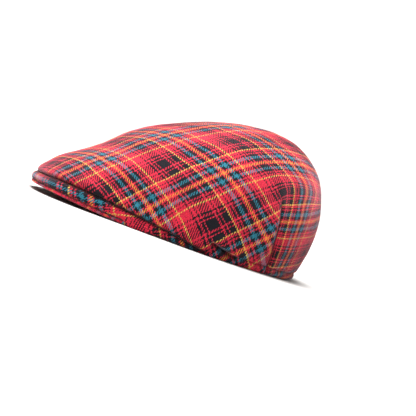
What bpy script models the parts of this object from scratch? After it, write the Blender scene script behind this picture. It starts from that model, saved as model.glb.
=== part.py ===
"""Flat cap of tartan cloth, at real size in metres.

The crown is one soft cloth top that slopes down to the front and is drawn in by a dart at each side of the back.
Below its front seam a narrow strip of the same cloth runs round the front and tapers away along the rim. A stiff
arched peak closes the front from below, and a dark sweatband lines the rim inside.

The front of the cap faces -Y, the wearer's left is +X, and the rim stands on z = 0. The finished cap is moved so
that the origin is below its middle. Until then lengths run from a point between the sides near the cap's widest
place. Directions round the cap are angles in degrees from the front, 90 at the side and 180 at the back.
"""

import math

import bmesh
import bpy
import numpy as np
from mathutils import Matrix, Vector

# Outer sizes of the cap
HALF_WIDTH = 0.0845
FRONT_REACH = 0.168
BACK_REACH = 0.0945
CROWN_HEIGHT = 0.126
TOP_SETBACK = 0.030

# Cloth, strip and seam
WALL = 0.0025
STRIP_HEIGHT = 0.0145
STRIP_END_HEIGHT = 0.0022
STRIP_STEP_ANGLE = 0.5
STRIP_SEARCH_START = 60.0
STRIP_LAST_ANGLE = 110.0
GAP = 0.0003

# Peak
PEAK_THICKNESS = 0.0035
PEAK_TIP_LIFT = 0.005
PEAK_VAULT = 0.006
PEAK_LIP = 0.001
PEAK_SHELF = 0.88
PEAK_CORNER_ANGLE = 50.0
PEAK_CORNER_RUN = 2.0
PEAK_CORNER_ROUNDNESS = 14
PEAK_CORNER_DEPTH = 0.65
PEAK_INNER_SPREAD = 0.93
FOREHEAD_REACH = 0.1155

# Sweatband
BAND_THICKNESS = 0.0015
BAND_HEIGHT = 0.030
BAND_LIFT = 0.001
BAND_CLEARANCE = 0.0006

# Darts at the back
DART_ANGLE = 125.0
DART_SPREAD = 3.2
DART_TOP = 0.56
DART_DEPTH = 0.0024
DART_SHARPNESS = 1.5
HEM_SHARE = 0.05

# Resolution of the meshes
COLUMN_STEP = 4.0
DART_COLUMN_STEP = 1.6
CROWN_ROWS = 17
CROWN_ROW_CROWDING = 1.15
STRIP_COLUMN_DENSITY = 1.5
PEAK_COLUMN_DENSITY = 1.2
SHARP_ANGLE = 50.0
HEIGHT_HALVINGS = 40
NORMAL_SHARE_STEP = 0.002
NORMAL_ANGLE_STEP = 0.5
APEX_SHARE = 0.999

# Plain colours and roughness of the cloths
TARTAN = (0.45, 0.03, 0.05)
PEAK_CLOTH = (0.30, 0.03, 0.05)
BAND_CLOTH = (0.01, 0.012, 0.02)
TARTAN_ROUGHNESS = 0.9
PEAK_ROUGHNESS = 0.85
BAND_ROUGHNESS = 0.8
PEAK_ROWS = 6
STRIP_ROWS = 3

# One row for each direction. Across is a share of HALF_WIDTH, and along of FRONT_REACH before the side and of
# BACK_REACH behind it. Lift is a share of PEAK_TIP_LIFT and strip of STRIP_HEIGHT. Rise and lean are how far the
# wall first climbs and leans out, as shares of CROWN_HEIGHT. Flat is how far the top reaches out level before it
# rounds down, as a share of the way from the top's middle to the rim.
SECTION_COLUMNS = ("angle", "across", "along", "lift", "strip", "rise", "lean", "flat")
SECTIONS = (
    (0, 0.000, 1.000, 1.00, 0.88, 0.13, 0.150, 0.480),
    (20, 0.613, 0.884, 0.90, 0.93, 0.14, 0.105, 0.525),
    (30, 0.793, 0.721, 0.52, 0.98, 0.20, 0.090, 0.615),
    (40, 0.859, 0.538, 0.12, 0.93, 0.28, 0.100, 0.720),
    (52, 0.912, 0.362, 0.00, 0.74, 0.38, 0.130, 0.785),
    (70, 0.986, 0.180, 0.00, 0.44, 0.46, 0.160, 0.810),
    (90, 1.000, 0.000, 0.00, 0.12, 0.51, 0.172, 0.825),
    (120, 0.862, -0.458, 0.00, 0.00, 0.53, 0.180, 0.828),
    (150, 0.548, -0.820, 0.00, 0.00, 0.56, 0.235, 0.865),
    (180, 0.000, -1.000, 0.00, 0.00, 0.60, 0.175, 0.860),
)

# One row for each soft dent or fold, made on both sides. Angle and height are its middle, the height as a share of
# the way from the rim to the top's middle. Tilt is how much its middle rises for each degree towards the back. Depth
# is a share of WALL, and below zero it swells out.
DENT_COLUMNS = ("angle", "height", "tilt", "spread_angle", "spread_height", "depth")
DENTS = (
    (0, 0.43, 0.0, 34.0, 0.100, 2.10),
    (0, 0.61, 0.0, 30.0, 0.100, -0.40),
    (98, 0.050, -0.0021, 9.0, 0.022, 0.70),
    (98, 0.012, -0.0006, 8.0, 0.016, -0.45),
    (116, 0.260, 0.0, 6.0, 0.180, -0.35),
    (134, 0.260, 0.0, 6.0, 0.180, -0.35),
    (62, 0.330, 0.0, 20.0, 0.100, 0.35),
)


def section_spline(column, odd=False):
    """A smooth curve through one column of SECTIONS, mirrored at the front and back of the cap."""
    place = SECTION_COLUMNS.index(column)
    angles = np.radians([row[0] for row in SECTIONS])
    values = np.array([row[place] for row in SECTIONS])
    mirror = -1.0 if odd else 1.0
    knots = np.concatenate((-angles[:0:-1], angles, 2 * math.pi - angles[-2::-1]))
    heights = np.concatenate((mirror * values[:0:-1], values, mirror * values[-2::-1]))
    steps = np.diff(knots)
    slopes = np.diff(heights) / steps
    count = len(knots)
    system = np.eye(count)
    load = np.zeros(count)
    for i in range(1, count - 1):
        system[i, i - 1:i + 2] = steps[i - 1], 2 * (steps[i - 1] + steps[i]), steps[i]
        load[i] = 6 * (slopes[i] - slopes[i - 1])
    bends = np.linalg.solve(system, load)

    def at(angle):
        turn = math.radians(abs(angle))
        side = -1.0 if odd and angle < 0 else 1.0
        i = min(max(int(np.searchsorted(knots, turn)) - 1, 0), count - 2)
        left, right = knots[i + 1] - turn, turn - knots[i]
        bent = (bends[i] * left ** 3 + bends[i + 1] * right ** 3) / (6 * steps[i])
        start = heights[i] / steps[i] - bends[i] * steps[i] / 6
        end = heights[i + 1] / steps[i] - bends[i + 1] * steps[i] / 6
        return side * float(bent + start * left + end * right)

    return at


ACROSS = section_spline("across", odd=True)
ALONG = section_spline("along")
LIFT = section_spline("lift")
STRIP = section_spline("strip")
RISE = section_spline("rise")
LEAN = section_spline("lean")
FLAT = section_spline("flat")


def outward(angle):
    """The level direction that an angle faces."""
    turn = math.radians(angle)
    return Vector((math.sin(turn), -math.cos(turn), 0.0))


def rim_point(angle):
    """The outer edge of the cap's base, on the rim or on the peak's edge."""
    along = ALONG(angle)
    reach = FRONT_REACH if along > 0 else BACK_REACH
    lift = max(LIFT(angle), 0.0) * PEAK_TIP_LIFT
    return Vector((ACROSS(angle) * HALF_WIDTH, -along * reach, lift))


def dent_depth(angle, height):
    """How far the cloth lies inside its smooth form, below zero where it swells out. The hem holds the rim."""
    depth = 0.0
    for middle, level, tilt, spread_angle, spread_height, share in DENTS:
        off_angle = abs(angle) - middle
        off_height = height - level - tilt * off_angle
        fall = (off_angle / spread_angle) ** 2 + (off_height / spread_height) ** 2
        depth += share * WALL * math.exp(-fall)
    off_dart = (abs(angle) - DART_ANGLE) / DART_SPREAD
    if height < DART_TOP:
        fade = math.cos(0.5 * math.pi * height / DART_TOP) ** 2
        depth += DART_DEPTH * fade * math.exp(-abs(off_dart) ** DART_SHARPNESS)
    held = min(height / HEM_SHARE, 1.0)
    return depth * held * held * (3 - 2 * held)


def smooth_form(angle, height):
    """A point of the crown's smooth form: height 0 is the base, and 1 is the top's middle."""
    base = rim_point(angle)
    top = Vector((0.0, TOP_SETBACK, CROWN_HEIGHT))
    climb = base + outward(angle) * (LEAN(angle) * CROWN_HEIGHT) + Vector((0, 0, RISE(angle) * CROWN_HEIGHT))
    level = Vector((base.x - top.x, base.y - top.y, 0.0)) * FLAT(angle) + top
    rest = 1.0 - height
    return (base * rest ** 3 + climb * (3 * height * rest ** 2) + level * (3 * height ** 2 * rest)
            + top * height ** 3)


def form_normal(angle, height):
    """The outward direction of the crown's smooth form."""
    if height > APEX_SHARE:
        return Vector((0, 0, 1))
    low = max(height - NORMAL_SHARE_STEP, 0.0)
    up = smooth_form(angle, height + NORMAL_SHARE_STEP) - smooth_form(angle, low)
    round_way = smooth_form(angle + NORMAL_ANGLE_STEP, height) - smooth_form(angle - NORMAL_ANGLE_STEP, height)
    return round_way.cross(up).normalized()


def cloth_point(angle, height, inward):
    """A point of the cloth, with its dents, inward of the outer face by the given distance."""
    normal = form_normal(angle, height)
    return smooth_form(angle, height) - normal * (dent_depth(angle, height) + inward)


def height_share(angle, rise):
    """The share of the way up at which the form stands the given rise above its base."""
    low, high = 0.0, 1.0
    goal = rim_point(angle).z + rise
    for _ in range(HEIGHT_HALVINGS):
        middle = 0.5 * (low + high)
        if smooth_form(angle, middle).z < goal:
            low = middle
        else:
            high = middle
    return 0.5 * (low + high) if rise > 0 else 0.0


def seam_rise(angle):
    """The height of the crown's lower edge above the base: the strip's height, and nothing behind the side."""
    return max(STRIP(angle), 0.0) * STRIP_HEIGHT if abs(angle) < STRIP_LAST_ANGLE else 0.0


def strip_end_angle():
    """The angle at which the strip has narrowed to its end height."""
    angle = STRIP_SEARCH_START
    while seam_rise(angle) > STRIP_END_HEIGHT and angle < STRIP_LAST_ANGLE:
        angle += STRIP_STEP_ANGLE
    return angle


def column_angles():
    """The directions of the crown's columns, closer together at the darts."""
    half = []
    angle = 0.0
    near = DART_SPREAD * 2.0
    while angle < 180.0 - 0.5 * DART_COLUMN_STEP:
        half.append(angle)
        close = abs(angle + 0.5 * COLUMN_STEP - DART_ANGLE) < near + 0.5 * COLUMN_STEP
        angle += DART_COLUMN_STEP if close else COLUMN_STEP
    return [-180.0] + [-a for a in half[:0:-1]] + half


def sweep(name, sections, closed, colour, roughness):
    """Make one solid through closed cross-sections of equal length, joined end to end or capped at both ends."""
    rows = len(sections) + (1 if closed else 0)
    columns = len(sections[0]) + 1
    mesh_work = bmesh.new()
    bmesh.ops.create_grid(mesh_work, x_segments=columns - 1, y_segments=rows - 1, size=1.0)
    mesh_work.verts.ensure_lookup_table()
    for row in range(rows):
        for column in range(columns):
            section = sections[row % len(sections)]
            mesh_work.verts[row * columns + column].co = section[column % len(section)]
    bmesh.ops.remove_doubles(mesh_work, verts=mesh_work.verts, dist=1e-6)
    open_edges = [edge for edge in mesh_work.edges if edge.is_boundary]
    if open_edges:
        bmesh.ops.holes_fill(mesh_work, edges=open_edges, sides=0)
    bmesh.ops.triangulate(mesh_work, faces=[face for face in mesh_work.faces if len(face.verts) > 4])
    bmesh.ops.recalc_face_normals(mesh_work, faces=mesh_work.faces)
    mesh = bpy.data.meshes.new(name)
    mesh_work.to_mesh(mesh)
    mesh_work.free()
    mesh.shade_smooth()
    mesh.set_sharp_from_angle(angle=math.radians(SHARP_ANGLE))
    mesh.materials.append(plain_material(name, colour, roughness))
    piece = bpy.data.objects.new(name, mesh)
    bpy.context.scene.collection.objects.link(piece)
    return piece


def plain_material(name, colour, roughness):
    """A plain cloth material in the piece's main colour."""
    material = bpy.data.materials.new(name)
    material.use_nodes = True
    shader = material.node_tree.nodes["Principled BSDF"]
    shader.inputs["Base Color"].default_value = (*colour, 1.0)
    shader.inputs["Roughness"].default_value = roughness
    shader.inputs["Metallic"].default_value = 0.0
    return material


def make_crown():
    """The cloth top: a hollow shell from the seam or the rim up to the top's middle."""
    sections = []
    for angle in column_angles():
        start = height_share(angle, seam_rise(angle))
        shares = [start + (1 - start) * (row / CROWN_ROWS) ** CROWN_ROW_CROWDING for row in range(CROWN_ROWS + 1)]
        outer = [cloth_point(angle, share, 0.0) for share in shares]
        inner = [cloth_point(angle, share, WALL) for share in shares]
        foot = smooth_form(angle, start).z
        outer[0].z = foot
        inner[0].z = foot
        sections.append(outer + inner[::-1])
    return sweep("crown", sections, True, TARTAN, TARTAN_ROUGHNESS)


def strip_foot(angle):
    """The strip's lower edge above the base: on the peak in front of its corner, and at the base behind it."""
    seat = PEAK_THICKNESS + GAP
    past = (abs(angle) - PEAK_CORNER_ANGLE - STRIP_STEP_ANGLE) / PEAK_CORNER_RUN
    ease = min(max(past, 0.0), 1.0)
    return seat * (1.0 - ease * ease * (3 - 2 * ease))


def make_front_strip():
    """The strip of cloth between the peak's edge and the crown's seam, which tapers away along the rim."""
    end = strip_end_angle()
    count = 2 * round(end / COLUMN_STEP * STRIP_COLUMN_DENSITY)
    sections = []
    for place in range(count + 1):
        angle = -end + 2 * end * place / count
        low = strip_foot(angle)
        high = seam_rise(angle) - GAP
        levels = [low + (high - low) * row / STRIP_ROWS for row in range(STRIP_ROWS + 1)]
        shares = [height_share(angle, level) for level in levels]
        outer = [cloth_point(angle, share, 0.0) for share in shares]
        inner = [cloth_point(angle, share, WALL) for share in shares]
        for line in (outer, inner):
            line[0].z = rim_point(angle).z + low
            line[-1].z = rim_point(angle).z + high
        sections.append(outer + inner[::-1])
    return sweep("front_strip", sections, False, TARTAN, TARTAN_ROUGHNESS)


def head_line(angle, offset):
    """The oval that the head goes through, on the sweatband's outer face, moved out by offset."""
    half_across = HALF_WIDTH - WALL - BAND_CLEARANCE + offset
    back = BACK_REACH - WALL - BAND_CLEARANCE
    half_along = 0.5 * (back + FOREHEAD_REACH) + offset
    middle = 0.5 * (back - FOREHEAD_REACH)
    turn = math.radians(angle)
    return Vector((half_across * math.sin(turn), middle - half_along * math.cos(turn), 0.0))


def make_peak():
    """The stiff peak: an arched crescent from the forehead to the cap's front edge, rounded at its corners."""
    count = 2 * round(PEAK_CORNER_ANGLE / COLUMN_STEP * PEAK_COLUMN_DENSITY)
    sections = []
    for place in range(count + 1):
        share = -1 + 2 * place / count
        angle = PEAK_CORNER_ANGLE * share
        inner_edge = head_line(angle * PEAK_INNER_SPREAD, GAP)
        outer_edge = rim_point(angle)
        lip = outward(angle) * PEAK_LIP
        cut = 1 - max(1 - abs(share) ** PEAK_CORNER_ROUNDNESS, 0.0) ** 0.5
        edge = inner_edge.lerp(outer_edge + lip, 1 - PEAK_CORNER_DEPTH * cut)
        edge.z = outer_edge.z
        vault = PEAK_VAULT * math.cos(0.5 * math.pi * share) ** 2
        under = []
        for row in range(PEAK_ROWS + 1):
            way = row / PEAK_ROWS
            point = inner_edge.lerp(edge, way)
            point.z = edge.z + vault * (1 - min(way / PEAK_SHELF, 1.0) ** 2)
            under.append(point)
        over = [point + Vector((0, 0, PEAK_THICKNESS)) for point in under]
        sections.append(under + over[::-1])
    return sweep("peak", sections, False, PEAK_CLOTH, PEAK_ROUGHNESS)


def make_sweatband():
    """The dark band inside the rim, closed all round the head."""
    sections = []
    for angle in np.arange(-180.0, 180.0, COLUMN_STEP):
        lines = []
        for offset, height in ((0.0, 0.0), (0.0, 0.5), (0.0, 1.0), (-BAND_THICKNESS, 1.0),
                               (-BAND_THICKNESS, 0.5), (-BAND_THICKNESS, 0.0)):
            point = head_line(angle, offset)
            point.z = BAND_LIFT + height * BAND_HEIGHT
            lines.append(point)
        sections.append(lines)
    return sweep("sweatband", sections, True, BAND_CLOTH, BAND_ROUGHNESS)


def main():
    for thing in list(bpy.data.objects):
        bpy.data.objects.remove(thing, do_unlink=True)
    pieces = (make_crown(), make_front_strip(), make_peak(), make_sweatband())
    along = [corner.co.y for piece in pieces for corner in piece.data.vertices]
    to_middle = Matrix.Translation((0.0, -0.5 * (min(along) + max(along)), 0.0))
    for piece in pieces:
        piece.data.transform(to_middle)


main()
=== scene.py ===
import math

import bmesh
import bpy
from mathutils import Matrix, Vector, noise
from mathutils.geometry import intersect_point_line
from mathutils.kdtree import KDTree


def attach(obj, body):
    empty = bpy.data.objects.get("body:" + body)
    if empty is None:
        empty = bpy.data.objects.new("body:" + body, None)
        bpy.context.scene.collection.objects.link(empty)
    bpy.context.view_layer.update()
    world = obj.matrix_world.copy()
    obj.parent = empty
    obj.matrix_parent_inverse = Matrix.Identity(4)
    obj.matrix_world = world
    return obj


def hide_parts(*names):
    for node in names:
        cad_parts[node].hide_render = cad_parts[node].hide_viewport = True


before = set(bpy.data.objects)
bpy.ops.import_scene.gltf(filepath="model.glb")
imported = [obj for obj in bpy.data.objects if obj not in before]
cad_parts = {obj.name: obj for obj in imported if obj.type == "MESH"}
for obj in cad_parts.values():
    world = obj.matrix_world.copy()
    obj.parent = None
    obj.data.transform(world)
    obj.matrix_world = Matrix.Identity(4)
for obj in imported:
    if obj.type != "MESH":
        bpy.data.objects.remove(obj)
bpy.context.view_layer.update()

bl_info = {
    "name": "Tartan flat cap",
    "version": (1, 0, 0),
    "blender": (4, 5, 0),
    "location": "View3D > Sidebar > Flat cap",
    "description": "Dresses a flat cap's solids in woven wool tartan, with its seams, darts, peak and sweatband",
    "category": "Object",
}

# The tartan's sett: the colour of each stripe and its threads, the same for both ways of the weave
SETT = (
    ("yellow", 2), ("red", 4), ("black", 2), ("red", 3), ("black", 4), ("teal", 5), ("black", 5), ("red", 2),
    ("orange", 4), ("red", 2), ("black", 5), ("teal", 5), ("black", 4), ("red", 3), ("black", 2), ("red", 4),
    ("yellow", 2), ("red", 13), ("black", 3), ("red", 3), ("black", 3), ("red", 2), ("black", 15), ("red", 3),
    ("black", 3), ("red", 2), ("black", 8),
)
TWILL_THREADS = 4
# Lumps in a metre of cloth: the yarns' waver is about 3 mm long, the flecks of nap 1.1 mm, the worn patches 36 mm
WAVER_SCALE = 330.0
FLECK_SCALE = 900.0
PATCH_SCALE = 28.0
# How far the yarns waver from their straight lines
WAVER = 0.0012
# How high the round yarns and their nap stand
YARN_RELIEF = 0.00035

# The dart on the wearer's left: its foot at the rim, its upper end, and the way that the cloth faces there
DART_FOOT = Vector((0.0674, 0.0900, 0.0030))
DART_END = Vector((0.0745, 0.0796, 0.0690))
DART_OUTWARD = Vector((0.84, 0.54, 0.0))
# How near to the dart the sheet is cut. Nothing nearer to the middle than the side's start belongs to it
DART_NEAR = 0.012
SIDE_START = 0.03
# The groove ends past the dart's upper end, at this share of its length, and fades over another
DART_REACH = 1.08
DART_FADE = 0.25

# The soft tuck that the cloth makes over the side of the rim, from its front end to its back end
TUCK = (Vector((0.0875, 0.0323, 0.0115)), Vector((0.0868, 0.0367, 0.0106)), Vector((0.0843, 0.0461, 0.0078)),
        Vector((0.0806, 0.0582, 0.0049)))

# The strip ends below the side, and the hem of the crown's rim begins behind it, over this length
HEM_START = 0.030
HEM_FADE = 0.015
HEM_HEIGHT = 0.0075
# The peak's corner, behind which the strip's foot comes down to the rim's plane
PEAK_CORNER = -0.041
# From here on the strip's own foot stands on that plane, and here the strip ends
STRIP_DOWN = -0.024
STRIP_END = 0.0285
# What comes down there: all of the strip up to the first height, and less up to the second. It begins and ends
# softly, ahead of the corner over this length
FOOT_HEIGHT = (0.0042, 0.0090)
FOOT_FADE = 0.010
# How high the peak's lower edge stands there, and how much it rises to the front
PEAK_EDGE_LOW = 0.0022
PEAK_EDGE_RISE = 0.052

# How near to each kind of crease the mesh is made finer: all of them, the front seam, the strip's edges
FINER_CREASE = 0.0036
FINER_SEAM = 0.0028
FINER_STRIP = 0.0032

# Half the width of each groove where the cloth is drawn in
GROOVE = {"crown_seam": 0.0015, "strip_seam": 0.0014, "strip_foot": 0.0014, "hem": 0.0011, "rim": 0.0012,
          "tuck": 0.0020}
# Beside a groove the cloth puffs out: half how wide, and how far away
PUFF = {"crown_seam": (0.0042, 0.0056), "strip_seam": (0.0028, 0.0040), "hem": (0.0025, 0.0040),
        "tuck": (0.0035, 0.0055), "dart": (0.0035, 0.0050)}
# At the nose the strip's upper part rolls in over this width
NOSE_ROLL = 0.0042
# The depth of grooves and the height of the puffs beside them, as shares of the cloth's seam roll
DEPTH = {"dart": 0.8, "centre_seam": 0.6, "strip_foot": 0.9, "nose": 1.1}
RISE = {"dart": 0.35, "strip_seam": 0.4}
# The same at the front seam: low at the sides, how much more where it is high, and how much less at the nose
FRONT_DEPTH = {"crown_seam": (0.9, 0.6, 0.6), "strip_seam": (0.9, 0.5, 0.6)}
FRONT_RISE = {"crown_seam": (0.5, 0.6, 0.8)}
# The dart's and the centre seam's half widths, as shares of the cloth's seam width
DART_WIDTH = 0.6
CENTRE_WIDTH = 0.5
# How deep the hem's fold, the rim's edge and the tuck are, and how far the cloth puffs out at the first and last
HEM_DEPTH, HEM_PUFF = 0.0013, 0.0006
RIM_DEPTH = 0.0006
TUCK_DEPTH, TUCK_PUFF = 0.0038, 0.0020
# How much of its colour the cloth loses in each crease, painted shade for the shadow there, and half how wide that is
PAINTED_SHADE = {"crown_seam": (0.95, 0.0018), "strip_seam": (0.95, 0.0014), "strip_foot": (0.60, 0.0008),
        "dart": (0.80, 0.0011), "tuck": (0.75, 0.0020), "hem": (0.60, 0.0009), "centre_seam": (0.35, 0.0008)}
# The unevenness of soft cloth: its height, and lumps in a metre
UNEVEN = ((0.0007, 42.0), (0.00025, 120.0))
# It starts this far from a seam or the rim, and is whole this far from it
UNEVEN_FROM = (0.002, 0.015)
# An edge of the wall that turns more than this is a corner, and is rounded by this share of the wall
CORNER_TURN = math.radians(50)
CORNER_ROUND = 0.42

# A point below the middle of the cap, from which outer faces look away
HUB = Vector((0.0, 0.020, -0.030))

# How the cloth lies on the flattened half of the top, ahead of the dart and behind it. A row gives the way over
# the cloth at one place of the flat shape, its growth along and across from there, and how that bends. Metres.
LAY_COLUMNS = ("at_along", "at_across", "start", "along", "across", "along_bend", "twist", "across_bend")
LAY = {
    "front_down": (0.180, 0.020, 0.0762, 0.552, -0.831, -0.593, 0.993, 2.905),
    "front_over": (0.180, 0.020, 0.0198, 0.637, 0.797, 0.220, -0.478, -1.276),
    "rear_down": (0.285, 0.010, 0.1576, 0.931, -0.840, -1.95, -2.84, -6.04),
    "rear_over": (0.285, 0.010, 0.0896, 0.869, 0.629, 2.46, 0.29, 0.03),
}
# Above the dart's end the two ways of lying merge, and this high they are one. Near the middle of the back, where
# they differ most, they merge over a longer way, further up and down by this much.
LAY_MERGED = 0.100
LAY_SPREAD = 0.020
# How near to the middle that is so, and half how wide the change is for each metre above the dart's end
LAY_SPREAD_NEAR = (0.010, 0.030)
LAY_WIDENING = 1.2
# The cloth never lies quite straight: how far it strays, and lumps in a metre, and the seed of that stray
LAY_STRAY = (0.0009, 45.0)
STRAY_SEED = 1
# On the flat shape, the middle of the back's foot, the way out across it, and how near to it they differ no more
BACK_FOOT = Vector((0.373, 0.0))
BACK_OUT = Vector((0.75, -0.66))
BACK_BAND = 0.025
# Between the two ways of lying the stripes down the back would draw in. How far they are let out, how high, how wide
BACK_EASE = (0.014, 0.088, 0.019)
# Where that begins and is whole: how far back on the cap, and how near to the back's middle on the flat shape
EASE_BACK = (0.080, 0.110)
EASE_NEAR = (-0.030, -0.004)

# How the strip's cloth lies: where a yellow line crosses it, the way down the cloth there, how it is stretched, and
# its slant to the seam
STRIP_YELLOW = 0.070
STRIP_START = 0.0009
STRIP_STRETCH = 0.76
STRIP_SLANT = 0.40
# The way over the cloth at the strip's seam, from where that grows, and how fast
STRIP_SEAM_START = 0.0190
STRIP_SEAM_BEND = 0.095
STRIP_SEAM_GROWTH = 0.36

# How the peak's cloth lies: on its edge, the ways down and over the cloth, and the same on its two faces
PEAK_EDGE_LAY = (0.15, 0.0394)
PEAK_FACE_LAY = (0.115, 0.02)

# The stage: the floor's radius, the steps out and up by which it turns into the backdrop, and its colour
FLOOR_RADIUS = 2.4
BACKDROP_STEPS = ((0.25, 0.03), (0.22, 0.10), (0.17, 0.17), (0.10, 0.22), (0.03, 0.25), (0.0, 1.6))
PAPER = "BEBDBB"
WORLD_STRENGTH = 0.48
# Each light's name, its place, what it faces, its width and its power
LIGHTS = (
    ("key", (1.0, -0.5, 1.3), (0.0, 0.0, 0.06), 0.7, 8.0),
    ("top", (0.05, -0.30, 1.72), (0.0, 0.0, 0.06), 1.1, 88.0),
    ("backdrop", (-1.2, 0.2, 1.6), (-2.7, 0.4, 0.3), 1.0, 70.0),
)
# The picture's width in pixels, and where in it a point of the cap stands
PICTURE = 416
SHOWN_POINT = Vector((0.0, 0.0342, 0.0))
SHOWN_AT = (197.5, 246.0)


def linear(code):
    """The linear colour of an sRGB hex code."""
    parts = [int(code[i:i + 2], 16) / 255 for i in (0, 2, 4)]
    return tuple(part / 12.92 if part <= 0.04045 else ((part + 0.055) / 1.055) ** 2.4 for part in parts)


class CapCloth(bpy.types.PropertyGroup):
    """Sizes of the cloth and its seams."""
    repeat: bpy.props.FloatProperty(
        name="Repeat", description="Width of one repeat of the tartan", default=0.068, unit="LENGTH")
    wall: bpy.props.FloatProperty(
        name="Wall", description="Thickness of the cloth with its turned-in edges", default=0.0025, unit="LENGTH")
    seam_roll: bpy.props.FloatProperty(
        name="Seam roll", description="How far the cloth rolls in at a seam", default=0.0013, unit="LENGTH")
    seam_width: bpy.props.FloatProperty(
        name="Seam width", description="Width over which the cloth rolls in", default=0.0026, unit="LENGTH")


class CapColours(bpy.types.PropertyGroup):
    """Colours of the yarns."""
    red: bpy.props.FloatVectorProperty(
        name="Red", description="Ground yarn", subtype="COLOR", default=linear("DE2743"))
    black: bpy.props.FloatVectorProperty(
        name="Black", description="Dark yarn, nearly navy", subtype="COLOR", default=linear("12111A"))
    teal: bpy.props.FloatVectorProperty(
        name="Teal", description="Blue-green yarn", subtype="COLOR", default=linear("297B91"))
    yellow: bpy.props.FloatVectorProperty(
        name="Yellow", description="Pale yellow yarn", subtype="COLOR", default=linear("E8B858"))
    orange: bpy.props.FloatVectorProperty(
        name="Orange", description="Warm yellow yarn", subtype="COLOR", default=linear("F08A3C"))
    band: bpy.props.FloatVectorProperty(
        name="Sweatband", description="Dark twill of the sweatband", subtype="COLOR", default=linear("1B1C26"))


class CapStage(bpy.types.PropertyGroup):
    """The camera's place and its lens."""
    azimuth: bpy.props.FloatProperty(
        name="Azimuth", description="How far round the cap the camera stands", default=math.radians(80.9),
        subtype="ANGLE")
    elevation: bpy.props.FloatProperty(
        name="Elevation", description="How far above the floor it looks from", default=math.radians(2.0),
        subtype="ANGLE")
    roll: bpy.props.FloatProperty(
        name="Roll", description="How far the cap is turned in the picture", default=math.radians(20.2),
        subtype="ANGLE")
    distance: bpy.props.FloatProperty(
        name="Distance", description="From the camera to the cap", default=1.3, unit="LENGTH")
    lens: bpy.props.FloatProperty(
        name="Lens", description="Focal length in millimetres on a 36 mm frame", default=118.5)


def add_node(material, kind, settings=None, **sockets):
    """Add one node to a material, with its settings, and its sockets set or linked."""
    node = material.node_tree.nodes.new("ShaderNode" + kind)
    for name, value in (settings or {}).items():
        setattr(node, name, value)
    for name, value in sockets.items():
        key = int(name[1:]) if name[0] == "i" and name[1:].isdigit() else name.replace("_", " ")
        if isinstance(value, bpy.types.NodeSocket):
            material.node_tree.links.new(value, node.inputs[key])
        else:
            node.inputs[key].default_value = value
    return node


def new_material(name):
    """An empty node material with its Principled shader."""
    material = bpy.data.materials.new(name)
    material.use_nodes = True
    return material, material.node_tree.nodes["Principled BSDF"]


def math_node(material, operation, first, second=0.0):
    """The result of one sum in a material."""
    return add_node(material, "Math", {"operation": operation}, i0=first, i1=second).outputs[0]


def sett_ramp(material, place):
    """The colour of the sett at a place, which runs from 0 to 1 over one repeat."""
    colours = bpy.context.scene.cap_colours
    ramp = add_node(material, "ValToRGB", i0=place)
    ramp.color_ramp.interpolation = "CONSTANT"
    total = sum(threads for name, threads in SETT)
    start = 0
    for name, threads in SETT:
        if start == 0:
            stop = ramp.color_ramp.elements[0]
            ramp.color_ramp.elements.remove(ramp.color_ramp.elements[1])
        else:
            stop = ramp.color_ramp.elements.new(start / total)
        stop.color = (*getattr(colours, name), 1.0)
        start += threads
    return ramp.outputs["Color"]


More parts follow.
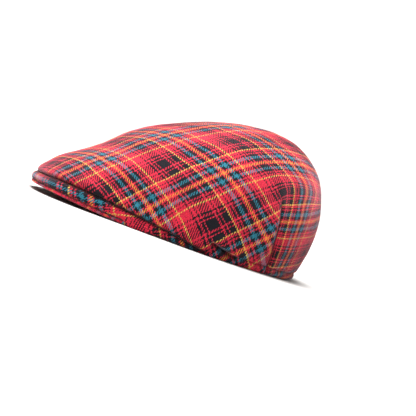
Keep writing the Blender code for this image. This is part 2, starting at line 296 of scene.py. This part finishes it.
def wool_tartan(name):
    """Woven wool tartan in a two and two twill: mixed stripes of dots, round yarns and a soft matt nap. Painted shade
    darkens the colour between the yarns, and where a seam or a fold draws the cloth in."""
    material, shader = new_material(name)
    threads = sum(count for colour, count in SETT)
    place = add_node(material, "UVMap", {"uv_map": "cloth"})
    coordinates = add_node(material, "TexCoord")
    waver = add_node(material, "TexNoise", Vector=coordinates.outputs["Object"], Scale=WAVER_SCALE, Detail=2.0)
    shift = add_node(material, "VectorMath", {"operation": "SUBTRACT"}, i0=waver.outputs["Color"], i1=(0.5, 0.5, 0.5))
    small = add_node(material, "VectorMath", {"operation": "SCALE"}, i0=shift.outputs[0], Scale=WAVER)
    moved = add_node(material, "VectorMath", {"operation": "ADD"}, i0=place.outputs[0], i1=small.outputs[0])
    ways = add_node(material, "SeparateXYZ", i0=moved.outputs[0])
    repeat = bpy.context.scene.cap_cloth.repeat
    down = math_node(material, "DIVIDE", ways.outputs[0], repeat)
    along = math_node(material, "DIVIDE", ways.outputs[1], repeat)
    down_share = math_node(material, "FRACT", down)
    along_share = math_node(material, "FRACT", along)
    down_thread = math_node(material, "MULTIPLY", down, threads)
    along_thread = math_node(material, "MULTIPLY", along, threads)
    whole = math_node(material, "ADD", math_node(material, "FLOOR", down_thread),
                      math_node(material, "FLOOR", along_thread))
    step = math_node(material, "FLOORED_MODULO", whole, TWILL_THREADS)
    on_top = math_node(material, "LESS_THAN", step, TWILL_THREADS / 2 - 0.5)
    woven = add_node(material, "Mix", {"data_type": "RGBA"}, i0=on_top,
                     i6=sett_ramp(material, along_share), i7=sett_ramp(material, down_share))
    across_down = math_node(material, "SINE", math_node(material, "MULTIPLY",
                            math_node(material, "FRACT", down_thread), math.pi))
    across_along = math_node(material, "SINE", math_node(material, "MULTIPLY",
                             math_node(material, "FRACT", along_thread), math.pi))
    round_yarn = add_node(material, "Mix", {"data_type": "FLOAT"}, i0=on_top, i2=across_along, i3=across_down)
    nap = add_node(material, "TexNoise", Vector=coordinates.outputs["Object"], Scale=FLECK_SCALE,
                   Detail=3.0, Roughness=0.7)
    wear = add_node(material, "TexNoise", Vector=coordinates.outputs["Object"], Scale=PATCH_SCALE, Detail=2.0)
    crossing = add_node(material, "CombineXYZ", X=math_node(material, "FLOOR", down_thread),
                        Y=math_node(material, "FLOOR", along_thread))
    uneven = add_node(material, "TexWhiteNoise", {"noise_dimensions": "2D"}, Vector=crossing.outputs[0])
    spread = add_node(material, "MapRange", Value=uneven.outputs["Value"], To_Min=0.72, To_Max=1.24)
    # Painted shade: the colour is darker between the round yarns than on their crowns; the flecks, patches and
    # crossings below vary the tone at random
    shade = add_node(material, "MapRange", Value=round_yarn.outputs[0], To_Min=0.25, To_Max=1.10)
    flecks = add_node(material, "MapRange", Value=nap.outputs["Fac"], From_Min=0.3, From_Max=0.7,
                      To_Min=0.82, To_Max=1.18)
    patches = add_node(material, "MapRange", Value=wear.outputs["Fac"], From_Min=0.3, From_Max=0.7,
                       To_Min=0.93, To_Max=1.07)
    shade_and_tone = math_node(material, "MULTIPLY", math_node(material, "MULTIPLY", shade.outputs[0], flecks.outputs[0]),
                      math_node(material, "MULTIPLY", patches.outputs[0], spread.outputs[0]))
    # Painted shade: an attribute darkens the colour along the seams, darts, hem and tuck, where their grooves would
    # be in shadow
    crease_shade = add_node(material, "Attribute", {"attribute_name": "crease_shade"})
    unshaded_share = math_node(material, "SUBTRACT", 1.0, crease_shade.outputs["Fac"])
    coloured = add_node(material, "VectorMath", {"operation": "SCALE"}, i0=woven.outputs[2],
                        Scale=math_node(material, "MULTIPLY", shade_and_tone, unshaded_share))
    height = math_node(material, "ADD", round_yarn.outputs[0], nap.outputs["Fac"])
    bump = add_node(material, "Bump", Strength=0.55, Distance=YARN_RELIEF, Height=height)
    links = material.node_tree.links
    links.new(coloured.outputs[0], shader.inputs["Base Color"])
    links.new(bump.outputs[0], shader.inputs["Normal"])
    shader.inputs["Roughness"].default_value = 0.92
    shader.inputs["Specular IOR Level"].default_value = 0.25
    shader.inputs["Sheen Weight"].default_value = 0.5
    shader.inputs["Sheen Roughness"].default_value = 0.3
    shader.inputs["Sheen Tint"].default_value = (*linear("F6C4D0"), 1.0)
    return material


def band_twill():
    """Dark cotton twill, close and slightly shiny, with fine slanting ribs about a millimetre apart."""
    material, shader = new_material("cotton_twill")
    coordinates = add_node(material, "TexCoord")
    turned = add_node(material, "Mapping", Vector=coordinates.outputs["Object"])
    turned.inputs["Rotation"].default_value = (0.0, math.radians(35), math.radians(20))
    ribs = add_node(material, "TexWave", Vector=turned.outputs[0], Scale=300.0, Distortion=1.0)
    ribs.bands_direction = "Z"
    # Painted shade: the colour is lighter and darker across the ribs, following their relief
    shade = add_node(material, "MapRange", Value=ribs.outputs["Fac"], To_Min=0.75, To_Max=1.25)
    colour = tuple(bpy.context.scene.cap_colours.band)
    coloured = add_node(material, "VectorMath", {"operation": "SCALE"}, i0=colour, Scale=shade.outputs[0])
    bump = add_node(material, "Bump", Strength=0.4, Distance=0.0002, Height=ribs.outputs["Fac"])
    material.node_tree.links.new(coloured.outputs[0], shader.inputs["Base Color"])
    material.node_tree.links.new(bump.outputs[0], shader.inputs["Normal"])
    shader.inputs["Roughness"].default_value = 0.7
    shader.inputs["Sheen Weight"].default_value = 0.1
    return material


def cad_copy(node):
    """A bmesh copy of a solid, merged and back in quads."""
    work = bmesh.new()
    work.from_mesh(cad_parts[node].data)
    bmesh.ops.remove_doubles(work, verts=work.verts, dist=1e-5)
    bmesh.ops.join_triangles(work, faces=work.faces, angle_face_threshold=math.radians(40),
                             angle_shape_threshold=math.radians(60))
    return work


def outer_half(node, most_level=1.0):
    """The outer face of a solid's left half, as an open sheet, less faces that look further up than a limit."""
    work = cad_copy(node)
    hidden = [face for face in work.faces
              if (face.calc_center_median() - HUB).dot(face.normal) <= 0 or face.normal.z > most_level]
    bmesh.ops.delete(work, geom=hidden, context="FACES")
    bmesh.ops.bisect_plane(work, geom=work.verts[:] + work.edges[:] + work.faces[:], dist=1e-5,
                           plane_co=(0, 0, 0), plane_no=(1, 0, 0), clear_inner=True)
    return work


def thin_fan(work, kept=3):
    """Keep every third of the crowded spokes that meet on top of the crown, from the middle on."""
    pole = max(work.verts, key=lambda vertex: len(vertex.link_edges))
    ring = sorted((edge.other_vert(pole) for edge in pole.link_edges),
                  key=lambda vertex: math.atan2(vertex.co.x, pole.co.y - vertex.co.y))
    nearest = {vertex: ring[min(len(ring) - 1, kept * round(number / kept))] for number, vertex in enumerate(ring)}
    bmesh.ops.weld_verts(work, targetmap={vertex: target for vertex, target in nearest.items() if vertex != target})


def mirrored(work):
    """Add the right half of a left half, joined along the middle."""
    for vertex in work.verts:
        if abs(vertex.co.x) < 1e-4:
            vertex.co.x = 0.0
    bmesh.ops.mirror(work, geom=work.verts[:] + work.edges[:] + work.faces[:], axis="X", merge_dist=1e-5)
    middle = [vertex for vertex in work.verts if vertex.co.x == 0.0]
    bmesh.ops.remove_doubles(work, verts=middle, dist=2e-5)


def piece_from(work, name):
    """A new object from a bmesh, which is freed."""
    mesh = bpy.data.meshes.new(name)
    work.to_mesh(mesh)
    work.free()
    piece = bpy.data.objects.new(name, mesh)
    bpy.context.scene.collection.objects.link(piece)
    return piece


def flatten(piece):
    """Unwrap a sheet with the least stretch, as the maker's flat pattern was."""
    piece.data.uv_layers.new(name="cloth")
    bpy.context.view_layer.objects.active = piece
    piece.select_set(True)
    bpy.ops.object.mode_set(mode="EDIT")
    bpy.ops.mesh.select_all(action="SELECT")
    bpy.ops.uv.unwrap(method="MINIMUM_STRETCH", iterations=60, margin=0)
    bpy.ops.object.mode_set(mode="OBJECT")
    piece.select_set(False)


def flat_places(work):
    """Each corner's place in metres on the flattened sheet: along from the front middle to the back, and across."""
    flat = work.loops.layers.uv.active
    inside = inside_flat = 0.0
    for face in work.faces:
        corners = [loop[flat].uv for loop in face.loops]
        turns = [a.cross(b) for a, b in zip(corners, corners[1:] + corners[:1])]
        inside += face.calc_area()
        inside_flat += abs(sum(turns)) / 2
    scale = math.sqrt(inside / inside_flat)
    middle = [loop for vertex in work.verts if abs(vertex.co.x) < 1e-5 for loop in vertex.link_loops]
    front = min(middle, key=lambda loop: loop.vert.co.y)[flat].uv
    back = max(middle, key=lambda loop: loop.vert.co.y - loop.vert.co.z)[flat].uv
    way = (back - front).normalized()
    side = Vector((-way.y, way.x))
    widest = max(work.verts, key=lambda vertex: vertex.co.x).link_loops[0][flat].uv
    if (widest - front).dot(side) < 0:
        side = -side
    return {loop: Vector(((loop[flat].uv - front).dot(way), (loop[flat].uv - front).dot(side))) * scale
            for face in work.faces for loop in face.loops}


def smooth_step(value, low, high):
    """From 0 at the low value to 1 at the high one, without corners."""
    share = max(0.0, min(1.0, (value - low) / (high - low)))
    return share * share * (3 - 2 * share)


def lay_cloth(place, row):
    """The way over the cloth for one place of the flattened half."""
    lay = dict(zip(LAY_COLUMNS, LAY[row]))
    x, y = place.x - lay["at_along"], place.y - lay["at_across"]
    bent = lay["along_bend"] * x * x + lay["twist"] * x * y + lay["across_bend"] * y * y
    return lay["start"] + lay["along"] * x + lay["across"] * y + bent


def dart_side():
    """The way rearwards across the dart."""
    return DART_OUTWARD.cross(DART_END - DART_FOOT).normalized() * -1.0


def behind_dart(co):
    """From 0 ahead of the dart to 1 behind it. Above its end the change is ever wider and weaker."""
    above = co.z - DART_END.z
    width = max(0.0001, above * LAY_WIDENING)
    aside = (co - DART_FOOT).dot(dart_side())
    spread = LAY_SPREAD * (1 - smooth_step(co.x, *LAY_SPREAD_NEAR))
    return smooth_step(aside, -width, width) * (1 - smooth_step(above, -spread, LAY_MERGED - DART_END.z + spread))


def cut_dart(work):
    """Cut the sheet along the dart, and mark the cut as a seam for the flattening."""
    across = dart_side()
    near = [face for face in work.faces if face.calc_center_median().z < DART_END.z + DART_NEAR
            and face.calc_center_median().x > SIDE_START
            and abs((face.calc_center_median() - DART_FOOT).dot(across)) < DART_NEAR]
    geometry = near + list({edge for face in near for edge in face.edges}) + list(
        {vertex for face in near for vertex in face.verts})
    cut = bmesh.ops.bisect_plane(work, geom=geometry, dist=0.0012, plane_co=DART_FOOT, plane_no=across)
    for edge in [item for item in cut["geom_cut"] if isinstance(item, bmesh.types.BMEdge)]:
        edge.seam = max(vertex.co.z for vertex in edge.verts) < DART_END.z + 0.002


class CAP_OT_crown(bpy.types.Operator):
    """Makes the crown: two mirrored halves of tartan, a centre seam, a dart on each side and a turned-in hem."""
    bl_idname = "cap.crown"
    bl_label = "Make the crown"

    def execute(self, context):
        cloth = context.scene.cap_cloth
        work = outer_half("crown")
        thin_fan(work)
        cut_dart(work)
        half = piece_from(work, "half")
        flatten(half)
        work = bmesh.new()
        work.from_mesh(half.data)
        bpy.data.objects.remove(half)
        flat = work.loops.layers.uv.active
        for loop, place in flat_places(work).items():
            loop[flat].uv = place
        mirrored(work)
        crown = piece_from(work, "crown_cloth")
        crown = refined(crown, 2)
        lay_crown(crown)
        shape_crown(crown, cloth)
        give_wall(crown, cloth.wall)
        crown.data.materials.append(wool_tartan("tartan_wool"))
        finish_piece(crown, "crown")
        return {"FINISHED"}


def applied(piece):
    """The piece with its modifiers worked into its mesh."""
    evaluated = piece.evaluated_get(bpy.context.evaluated_depsgraph_get())
    mesh = bpy.data.meshes.new_from_object(evaluated)
    piece.modifiers.clear()
    piece.data = mesh
    return piece


def refined(piece, levels):
    """The piece with its mesh made finer and smoother."""
    finer = piece.modifiers.new("finer", "SUBSURF")
    finer.levels = finer.render_levels = levels
    finer.boundary_smooth = "PRESERVE_CORNERS"
    return applied(piece)


def give_wall(piece, thickness):
    """Thicken a sheet inwards, round its rim behind the strip, and press flat on the table what would hang below."""
    work = opened(piece)
    mark = work.verts.layers.int.new("at_edge")
    for vertex in work.verts:
        vertex[mark] = vertex.is_boundary
    work.to_mesh(piece.data)
    work.free()
    wall = piece.modifiers.new("wall", "SOLIDIFY")
    wall.thickness = thickness
    wall.offset = -1.0
    work = bmesh.new()
    work.from_mesh(applied(piece).data)
    mark = work.verts.layers.int["at_edge"]
    sharp = [edge for edge in work.edges if all(vertex[mark] and vertex.co.y > HEM_START for vertex in edge.verts)
             and edge.calc_face_angle(0.0) > CORNER_TURN]
    bmesh.ops.bevel(work, geom=sharp, offset=thickness * CORNER_ROUND, segments=3, profile=0.5, affect="EDGES")
    for vertex in work.verts:
        vertex.co.z = max(0.0, vertex.co.z)
    work.to_mesh(piece.data)
    work.free()


def finish_piece(piece, node):
    """Smooth shading, and the piece's body and the solid that it takes the place of."""
    for polygon in piece.data.polygons:
        polygon.use_smooth = True
    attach(piece, "root")
    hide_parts(node)


def lay_crown(crown):
    """Turn each corner's flat place into its way over the tartan."""
    work = bmesh.new()
    work.from_mesh(crown.data)
    flat = work.loops.layers.uv.active
    # Blender takes the start of this noise from the clock unless it is given one
    noise.seed_set(STRAY_SEED)
    for face in work.faces:
        middle = face.calc_center_median()
        for loop in face.loops:
            # A little inside its face, so that the corners on the dart's two sides differ
            co = loop.vert.co.lerp(middle, 0.1)
            rear = behind_dart(Vector((abs(co.x), co.y, co.z)))
            place = loop[flat].uv + LAY_STRAY[0] * noise.noise_vector(co * LAY_STRAY[1]).xy
            near_back = (place - BACK_FOOT).dot(BACK_OUT)
            inward = place - max(0.0, near_back + BACK_BAND) * BACK_OUT
            down, over = [lay_cloth(place, "front_" + way) + rear * (lay_cloth(inward, "rear_" + way)
                          - lay_cloth(inward, "front_" + way)) for way in ("down", "over")]
            ease, height, width = BACK_EASE
            behind = smooth_step(co.y, *EASE_BACK) * smooth_step(near_back, *EASE_NEAR)
            loop[flat].uv = (down + ease * behind * swell(co.z - height, width), over)
    work.to_mesh(crown.data)
    work.free()


def swell(distance, width, away=0.0):
    """A soft bell, 1 where it is, at some distance away, and nearly 0 past twice its width from there."""
    return math.exp(-((distance - away) / width) ** 2)


def painted_shade(crease, distance):
    """How much of its colour the cloth loses at a distance from a crease: painted shade."""
    most, width = PAINTED_SHADE[crease]
    return most * swell(distance, width)


def point_tree(lines):
    """A tree of points every half millimetre along straight lines, for finding the nearest."""
    points = []
    for first, last in lines:
        steps = max(1, int((last - first).length / 0.0005))
        points += [first.lerp(last, step / steps) for step in range(steps + 1)]
    tree = KDTree(len(points))
    for number, point in enumerate(points):
        tree.insert(point, number)
    tree.balance()
    return tree


def edge_tree(work, wanted):
    """The same along the boundary edges that are wanted."""
    return point_tree([[vertex.co.copy() for vertex in edge.verts] for edge in work.edges
                       if edge.is_boundary and wanted(edge)])


def on_rim(edge):
    """True of an edge behind the strip's end, where the crown itself stands on the table."""
    return min(vertex.co.y for vertex in edge.verts) > STRIP_END


def opened(piece):
    """A bmesh of a sheet with its normals outward."""
    work = bmesh.new()
    work.from_mesh(piece.data)
    bmesh.ops.recalc_face_normals(work, faces=work.faces)
    work.normal_update()
    return work


def unevenness(co):
    """How far soft cloth stands off its even form at a place."""
    return sum(height * noise.noise(co * scale) for height, scale in UNEVEN)


def tuck_sink(place, tuck):
    """How far the tuck's valley and the fold over it move the cloth."""
    nearest, number, away = tuck.find(place)
    over = swell(away, *PUFF["tuck"]) if place.z > nearest.z else 0.0
    return TUCK_DEPTH * swell(away, GROOVE["tuck"]) - TUCK_PUFF * over


def height_share(co):
    """From 0 where the front seam is low to 1 where it is high."""
    return smooth_step(co.z, 0.006, 0.016)


def front_share(co):
    """From 0 at the sides to 1 at the nose."""
    return smooth_step(-co.y, 0.100, 0.130)


def front_seam(shares, co):
    """The share of the seam roll at one place of the front seam."""
    low, more, less = shares
    return low + more * height_share(co) - less * front_share(co)


def to_dart(place):
    """How far a place on the wearer's left is from the dart, and far where there is none."""
    inside = place.x > SIDE_START and place.z < DART_END.z + 0.008
    return abs((place - DART_FOOT).dot(dart_side())) if inside else 1.0


def finer_near(work, distance, reach):
    """Halve the edges that lie nearer to a crease than a reach."""
    near = [edge for edge in work.edges if max(distance(vertex.co) for vertex in edge.verts) < reach]
    bmesh.ops.subdivide_edges(work, edges=near, cuts=1, use_grid_fill=True)
    bmesh.ops.recalc_face_normals(work, faces=work.faces)
    work.normal_update()


def shape_crown(crown, cloth):
    """Roll the cloth in at its seams, puff it beside them, and turn in and stitch the rim."""
    work = opened(crown)
    seam = edge_tree(work, lambda edge: not on_rim(edge))
    rim = edge_tree(work, on_rim)
    tuck = point_tree(zip(TUCK, TUCK[1:]))
    side = dart_side()

    def to_crease(co):
        place = Vector((abs(co.x), co.y, co.z))
        from_rim = rim.find(co)[2]
        return min(place.x, seam.find(co)[2], from_rim, abs(from_rim - HEM_HEIGHT), tuck.find(place)[2],
                   to_dart(place))

    finer_near(work, to_crease, FINER_CREASE)
    finer_near(work, lambda co: seam.find(co)[2], FINER_SEAM)
    # Painted shade in the colour, darkest on the seams, the dart, the tuck, the hem and the centre seam
    crease_shade = work.verts.layers.float.new("crease_shade")
    sinks = {}
    for vertex in work.verts:
        place = Vector((abs(vertex.co.x), vertex.co.y, vertex.co.z))
        foot, share = intersect_point_line(place, DART_FOOT, DART_END)
        from_dart = abs((place - DART_FOOT).dot(side))
        in_dart = smooth_step(DART_REACH - share, 0.0, DART_FADE) if place.x > SIDE_START else 0.0
        from_seam = seam.find(vertex.co)[2]
        from_rim = rim.find(vertex.co)[2]
        hemmed = smooth_step(place.y, HEM_START, HEM_START + HEM_FADE)
        groove, puff = front_seam(FRONT_DEPTH["crown_seam"], place), front_seam(FRONT_RISE["crown_seam"], place)
        sink = cloth.seam_roll * in_dart * (DEPTH["dart"] * swell(from_dart, DART_WIDTH * cloth.seam_width)
                                            - RISE["dart"] * swell(from_dart, *PUFF["dart"]))
        sink += cloth.seam_roll * (DEPTH["centre_seam"] * swell(place.x, CENTRE_WIDTH * cloth.seam_width)
                                   + groove * swell(from_seam, GROOVE["crown_seam"])
                                   - puff * swell(from_seam, *PUFF["crown_seam"]))
        sink += hemmed * (HEM_DEPTH * swell(from_rim, GROOVE["hem"], HEM_HEIGHT)
                          - HEM_PUFF * swell(from_rim, *PUFF["hem"]))
        sink += RIM_DEPTH * swell(from_rim, GROOVE["rim"]) + tuck_sink(place, tuck)
        sink -= unevenness(vertex.co) * smooth_step(min(from_seam, from_rim), *UNEVEN_FROM)
        vertex[crease_shade] = max(painted_shade("crown_seam", from_seam), in_dart * painted_shade("dart", from_dart),
                               painted_shade("tuck", tuck.find(place)[2]),
                               hemmed * painted_shade("hem", from_rim - HEM_HEIGHT), painted_shade("centre_seam", place.x))
        sinks[vertex] = sink
    for vertex, sink in sinks.items():
        vertex.co -= vertex.normal * sink
        if vertex.is_boundary:
            down = smooth_step(vertex.co.y, STRIP_END - 0.006, STRIP_END)
            vertex.co.z += down * (max(0.0, vertex.normal.z) * cloth.wall - vertex.co.z)
    work.to_mesh(crown.data)
    work.free()


def sum_z(edge):
    """Both ends' heights of an edge together."""
    return sum(vertex.co.z for vertex in edge.verts)


def shape_strip(strip, cloth):
    """Roll the strip in at its two edges, and bring its foot down behind the peak."""
    work = opened(strip)
    seam = edge_tree(work, lambda edge: edge.link_faces[0].calc_center_median().z < sum_z(edge) / 2)
    foot = edge_tree(work, lambda edge: edge.link_faces[0].calc_center_median().z >= sum_z(edge) / 2)
    finer_near(work, lambda co: min(seam.find(co)[2], foot.find(co)[2]), FINER_STRIP)
    # Painted shade in the colour along the strip's seam and foot
    crease_shade = work.verts.layers.float.new("crease_shade")
    sinks = {}
    for vertex in work.verts:
        from_seam, from_foot = seam.find(vertex.co)[2], foot.find(vertex.co)[2]
        groove = front_seam(FRONT_DEPTH["strip_seam"], vertex.co)
        nose = DEPTH["nose"] * front_share(vertex.co)
        sinks[vertex] = cloth.seam_roll * (groove * swell(from_seam, GROOVE["strip_seam"])
                                           + nose * swell(from_seam, NOSE_ROLL)
                                           - RISE["strip_seam"] * swell(from_seam, *PUFF["strip_seam"])
                                           + DEPTH["strip_foot"] * swell(from_foot, GROOVE["strip_foot"]))
        vertex[crease_shade] = max(painted_shade("strip_seam", from_seam), painted_shade("strip_foot", from_foot))
    for vertex, sink in sinks.items():
        vertex.co -= vertex.normal * sink
        low = 1 - smooth_step(vertex.co.z, *FOOT_HEIGHT)
        behind = smooth_step(vertex.co.y, PEAK_CORNER - FOOT_FADE, PEAK_CORNER)
        vertex.co.z *= 1 - low * behind * (1 - smooth_step(vertex.co.y, STRIP_DOWN, STRIP_DOWN + FOOT_FADE / 2))
    work.to_mesh(strip.data)
    work.free()


class CAP_OT_strip(bpy.types.Operator):
    """Makes the strip of the same cloth between the crown's front seam and the peak."""
    bl_idname = "cap.strip"
    bl_label = "Make the front strip"

    def execute(self, context):
        cloth = context.scene.cap_cloth
        work = outer_half("front_strip", 0.8)
        ends = [face for face in work.faces if face.normal.y > 0.7]
        bmesh.ops.delete(work, geom=ends, context="FACES")
        upper = [edge for edge in work.edges if edge.is_boundary
                 and edge.link_faces[0].calc_center_median().z < sum_z(edge) / 2 - 0.0003]
        chain = sorted({vertex for edge in upper for vertex in edge.verts}, key=lambda vertex: vertex.co.y)
        reach = 0.0
        table = []
        for vertex, last in zip(chain, [chain[0]] + chain):
            reach += (vertex.co.xy - last.co.xy).length
            table.append((vertex.co.copy(), reach))
        flat = work.loops.layers.uv.new("cloth")
        for face in work.faces:
            for loop in face.loops:
                top, along = min(table, key=lambda row: (row[0].xy - loop.vert.co.xy).length)
                below = top.z - loop.vert.co.z
                over = STRIP_SEAM_START + STRIP_SEAM_GROWTH * max(0.0, along - STRIP_SEAM_BEND) + below
                down = STRIP_STRETCH * (along - STRIP_YELLOW) - STRIP_SLANT * below
                loop[flat].uv = (down + STRIP_START, over)
        mirrored(work)
        strip = refined(piece_from(work, "front_strip_cloth"), 2)
        shape_strip(strip, cloth)
        give_wall(strip, cloth.wall)
        strip.data.materials.append(bpy.data.materials["tartan_wool"])
        finish_piece(strip, "front_strip")
        return {"FINISHED"}


class CAP_OT_peak(bpy.types.Operator):
    """Makes the stiff peak, covered with the tartan above and below."""
    bl_idname = "cap.peak"
    bl_label = "Make the peak"

    def execute(self, context):
        work = cad_copy("peak")
        flat = work.loops.layers.uv.new("cloth")
        for face in work.faces:
            edge_on = abs(face.normal.z) < 0.5 and face.calc_center_median().y < -0.05
            for loop in face.loops:
                co = loop.vert.co
                level = PEAK_EDGE_LOW + PEAK_EDGE_RISE * (PEAK_CORNER - co.y)
                if edge_on:
                    loop[flat].uv = (co.y + PEAK_EDGE_LAY[0], PEAK_EDGE_LAY[1] + co.z - level)
                else:
                    loop[flat].uv = (co.y + PEAK_FACE_LAY[0], co.x + PEAK_FACE_LAY[1])
        peak = refined(piece_from(work, "peak_cloth_cover"), 2)
        peak.data.materials.append(bpy.data.materials["tartan_wool"])
        finish_piece(peak, "peak")
        return {"FINISHED"}


class CAP_OT_sweatband(bpy.types.Operator):
    """Makes the dark band inside the rim."""
    bl_idname = "cap.sweatband"
    bl_label = "Make the sweatband"

    def execute(self, context):
        band = refined(piece_from(cad_copy("sweatband"), "sweatband_twill"), 1)
        band.data.materials.append(band_twill())
        finish_piece(band, "sweatband")
        return {"FINISHED"}


def soft_light(name, place, target, size, power):
    """A square soft light at a place that faces a target."""
    light = bpy.data.lights.new(name, "AREA")
    light.shape = "SQUARE"
    light.size = size
    light.energy = power
    lamp = bpy.data.objects.new(name, light)
    bpy.context.scene.collection.objects.link(lamp)
    lamp.location = place
    lamp.rotation_euler = (Vector(target) - Vector(place)).to_track_quat("-Z", "Y").to_euler()


class CAP_OT_stage(bpy.types.Operator):
    """Makes the pale floor and backdrop, the soft lights and the camera."""
    bl_idname = "cap.stage"
    bl_label = "Make the stage"

    def execute(self, context):
        stage = context.scene.cap_stage
        work = bmesh.new()
        bmesh.ops.create_circle(work, segments=96, radius=FLOOR_RADIUS, cap_ends=True, matrix=Matrix.Identity(4))
        for grow, rise in BACKDROP_STEPS:
            rim = [edge for edge in work.edges if edge.is_boundary]
            grown = bmesh.ops.extrude_edge_only(work, edges=rim)["geom"]
            edge_verts = [item for item in grown if isinstance(item, bmesh.types.BMVert)]
            for vertex in edge_verts:
                flat = Vector((vertex.co.x, vertex.co.y, 0.0))
                vertex.co += flat.normalized() * grow + Vector((0.0, 0.0, rise))
        bmesh.ops.recalc_face_normals(work, faces=work.faces)
        floor = piece_from(work, "floor")
        for polygon in floor.data.polygons:
            polygon.use_smooth = True
        material, shader = new_material("pale_paper")
        shader.inputs["Base Color"].default_value = (*linear(PAPER), 1.0)
        shader.inputs["Roughness"].default_value = 0.9
        floor.data.materials.append(material)
        world = bpy.data.worlds.new("studio")
        world.use_nodes = True
        world.node_tree.nodes["Background"].inputs["Color"].default_value = (1.0, 1.0, 1.0, 1.0)
        world.node_tree.nodes["Background"].inputs["Strength"].default_value = WORLD_STRENGTH
        context.scene.world = world
        context.scene.view_settings.view_transform = "Standard"
        for light in LIGHTS:
            soft_light(*light)
        place_camera(stage)
        return {"FINISHED"}


def place_camera(stage):
    """The camera at the photograph's angle, with the cap turned in the picture as it is there."""
    turn, rise, roll = stage.azimuth, stage.elevation, stage.roll
    toward = Vector((math.sin(turn) * math.cos(rise), -math.cos(turn) * math.cos(rise), math.sin(rise)))
    level = Vector((math.cos(turn), math.sin(turn), 0.0))
    upward = toward.cross(level)
    right = math.cos(roll) * level + math.sin(roll) * upward
    up = math.cos(roll) * upward - math.sin(roll) * level
    camera = bpy.data.objects.new("camera", bpy.data.cameras.new("camera"))
    camera.data.lens = stage.lens
    camera.data.sensor_width = 36.0
    pixel = stage.distance * camera.data.sensor_width / stage.lens / PICTURE
    aim = SHOWN_POINT + right * (PICTURE / 2 - SHOWN_AT[0]) * pixel + up * (SHOWN_AT[1] - PICTURE / 2) * pixel
    turned = Matrix((right, up, toward)).transposed().to_4x4()
    camera.matrix_world = Matrix.Translation(aim + toward * stage.distance) @ turned
    bpy.context.scene.collection.objects.link(camera)
    bpy.context.scene.camera = camera


class CAP_PT_panel(bpy.types.Panel):
    """The cap's sizes, colours and steps."""
    bl_label = "Flat cap"
    bl_idname = "CAP_PT_panel"
    bl_space_type = "VIEW_3D"
    bl_region_type = "UI"
    bl_category = "Flat cap"

    def draw(self, context):
        for group in (context.scene.cap_cloth, context.scene.cap_colours, context.scene.cap_stage):
            for name in group.__annotations__:
                self.layout.prop(group, name)
        for step in STEPS:
            self.layout.operator(step.bl_idname)


STEPS = (CAP_OT_crown, CAP_OT_strip, CAP_OT_peak, CAP_OT_sweatband, CAP_OT_stage)
GROUPS = {"cap_cloth": CapCloth, "cap_colours": CapColours, "cap_stage": CapStage}


def register():
    """Register the sizes, the steps and the panel."""
    for name, group in GROUPS.items():
        bpy.utils.register_class(group)
        setattr(bpy.types.Scene, name, bpy.props.PointerProperty(type=group))
    for step in STEPS + (CAP_PT_panel,):
        bpy.utils.register_class(step)


def unregister():
    """Take back what register added."""
    for step in STEPS + (CAP_PT_panel,):
        bpy.utils.unregister_class(step)
    for name, group in GROUPS.items():
        delattr(bpy.types.Scene, name)
        bpy.utils.unregister_class(group)


def main():
    """Make every piece and the stage."""
    register()
    bpy.ops.cap.crown()
    bpy.ops.cap.strip()
    bpy.ops.cap.peak()
    bpy.ops.cap.sweatband()
    bpy.ops.cap.stage()


if __name__ == "__main__":
    main()
